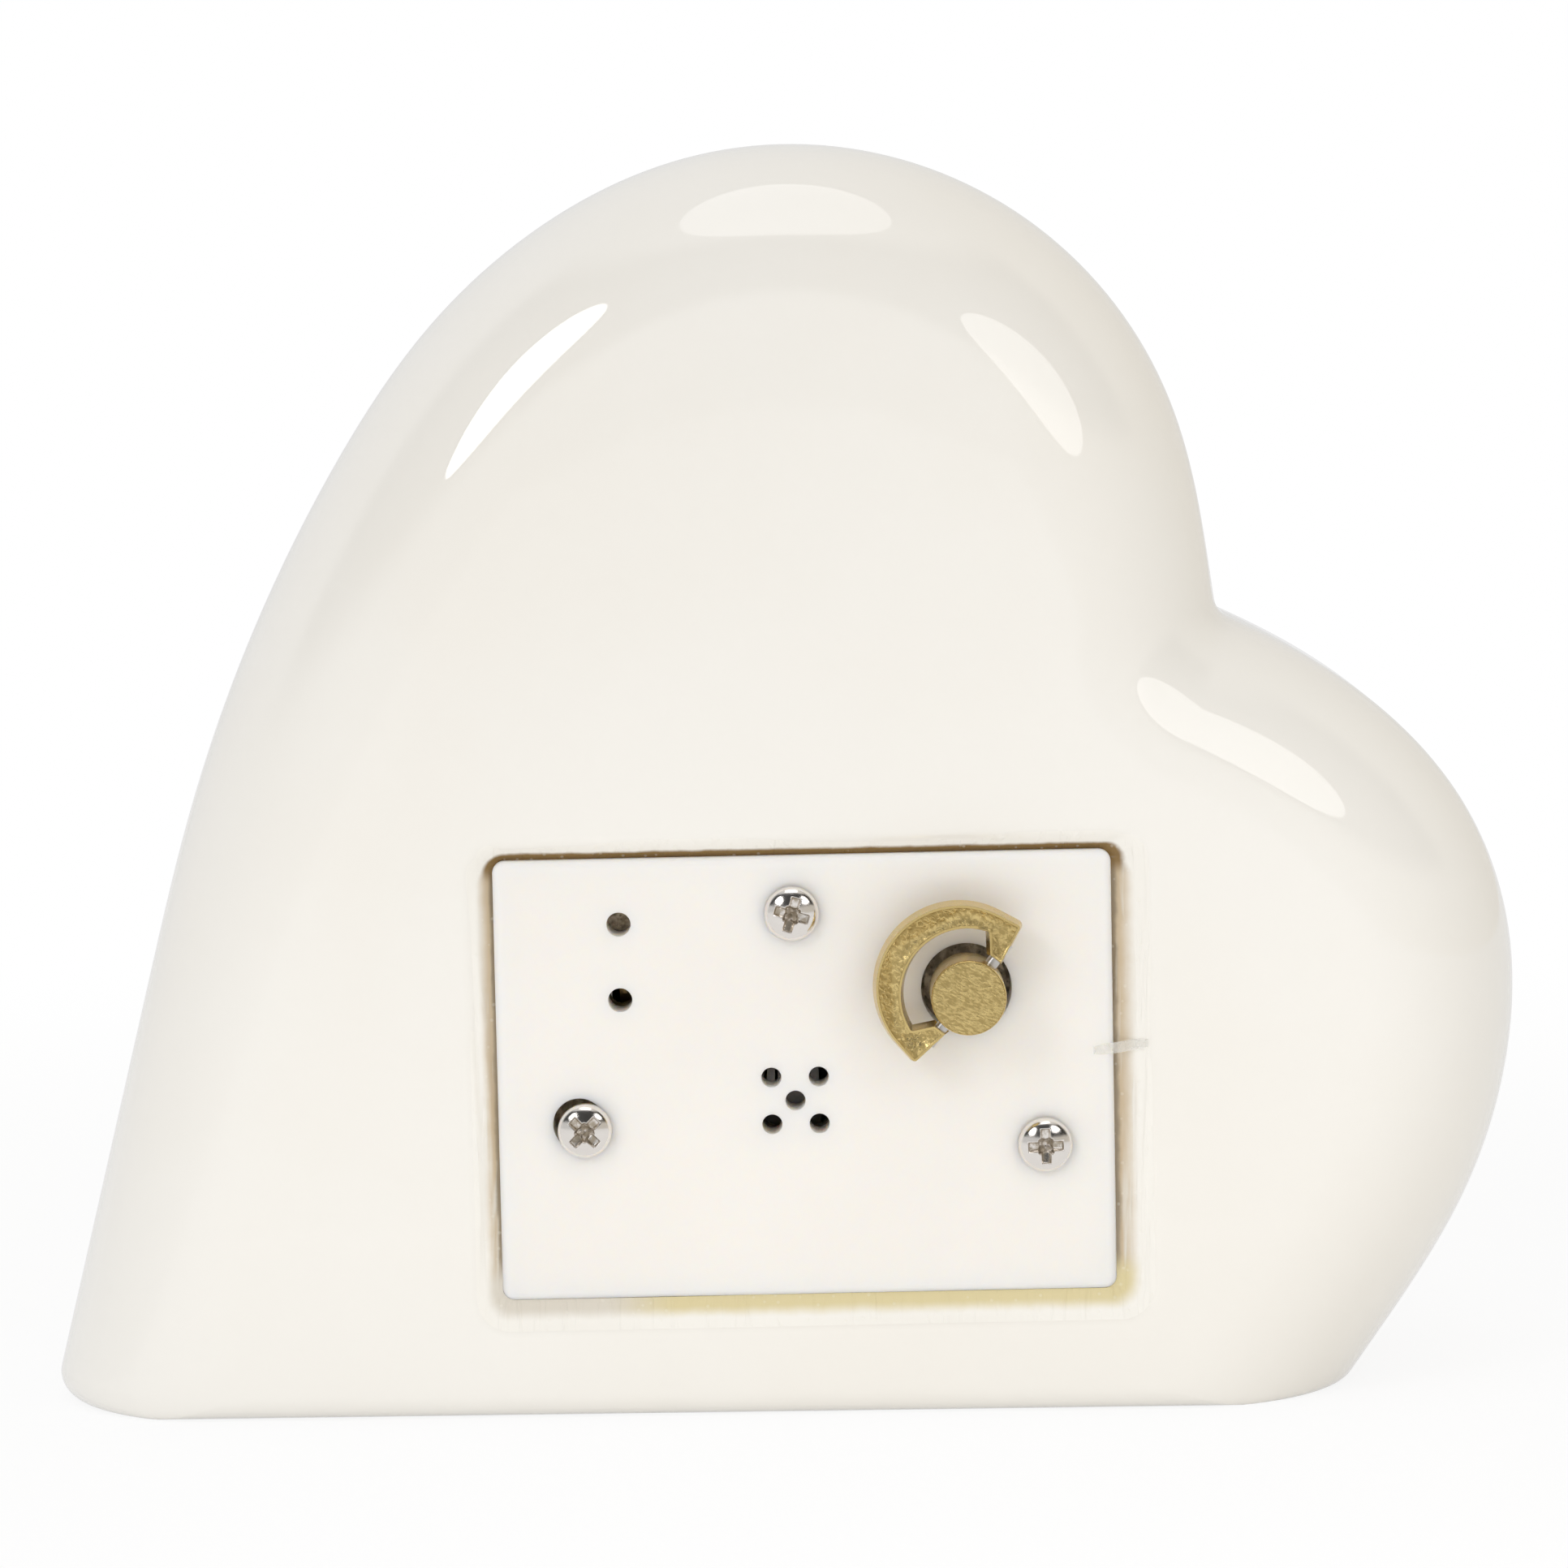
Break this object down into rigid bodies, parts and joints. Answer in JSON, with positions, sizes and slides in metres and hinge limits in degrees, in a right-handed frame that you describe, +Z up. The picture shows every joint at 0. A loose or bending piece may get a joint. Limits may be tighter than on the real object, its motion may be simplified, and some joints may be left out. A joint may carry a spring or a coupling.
{
  "type": "wind-up music box",
  "caption": "Hollow glazed ceramic heart lying on a flat flank, with a spring-wound comb music movement behind a screwed face in its back and a folding brass winding key.",
  "frame": {"origin": "on the flat foot the heart lies on, midway through its depth", "axes": "+X along the heart's width, to the right seen from its back; +Y from its back, with the winding key, to its front; +Z up from the foot"},
  "size_m": [0.1492, 0.0557, 0.1265],
  "materials": {
    "glaze": "glossy off-white glaze",
    "case_plastic": "satin moulded, off-white",
    "glue": "translucent, yellowed",
    "screw_chrome": "bright plated",
    "key_brass": "pebbled casting",
    "pin_steel": "drawn",
    "cast_plate": "mottled grey casting",
    "spring_steel": "blued strip",
    "steel": "machined",
    "gear_brass": "machined",
    "nylon": "white moulded"
  },
  "bodies": {
    "heart": {"heart_shell": "glaze", "glue_bead": "glue", "movement_case": "case_plastic", "case_cover": "case_plastic", "mounting_screws": "screw_chrome", "bedplate": "cast_plate", "left_bracket": "steel", "right_bracket": "steel", "bracket_screws": "steel", "comb": "steel", "comb_screws": "steel", "spring_housing": "steel", "housing_screws": "steel", "mainspring": "spring_steel", "governor_frame": "steel", "governor_screw": "steel"},
    "winder": {"winding_arbor": "steel", "drive_gear": "gear_brass", "ratchet_wheel": "steel", "click_pawl": "steel", "key_hub": "key_brass", "key_pin": "pin_steel"},
    "bail": {"key_bail": "key_brass"},
    "cylinder": {"cylinder_drum": "gear_brass", "cylinder_arbor": "steel", "cylinder_pinion": "gear_brass", "cylinder_wheel": "gear_brass"},
    "governor": {"governor_wheel": "nylon", "governor_arbor": "steel"},
    "air_brake": {"worm_shaft": "steel", "fly": "nylon"}
  },
  "joints": [
    {"name": "winding", "type": "hinge", "parent": "heart", "child": "winder", "pos_m": [0.01778, -0.0283, 0.04287], "axis": [0, -1, 0], "range_deg": [0, 2160]},
    {"name": "key_fold", "type": "hinge", "parent": "winder", "child": "bail", "pos_m": [0.01778, -0.0283, 0.04287], "axis": [0.6225, 0, 0.7826], "range_deg": [0, 180]},
    {"name": "cylinder_turn", "type": "hinge", "parent": "heart", "child": "cylinder", "pos_m": [-0.00682, -0.00925, 0.0427], "axis": [1, 0, 0.007], "range_deg": [0, 4320]},
    {"name": "governor_turn", "type": "hinge", "parent": "heart", "child": "governor", "pos_m": [-0.02197, -0.00925, 0.03504], "axis": [1, 0, 0.007], "range_deg": [-17280, 0]},
    {"name": "fly_spin", "type": "hinge", "parent": "heart", "child": "air_brake", "pos_m": [-0.02273, -0.00925, 0.03019], "axis": [0, 1, 0], "range_deg": [0, 414720]}
  ],
  "couplings": [
    {"joint": "cylinder_turn", "follows": "winding", "ratio": 2},
    {"joint": "governor_turn", "follows": "winding", "ratio": -8},
    {"joint": "fly_spin", "follows": "winding", "ratio": 192}
  ]
}
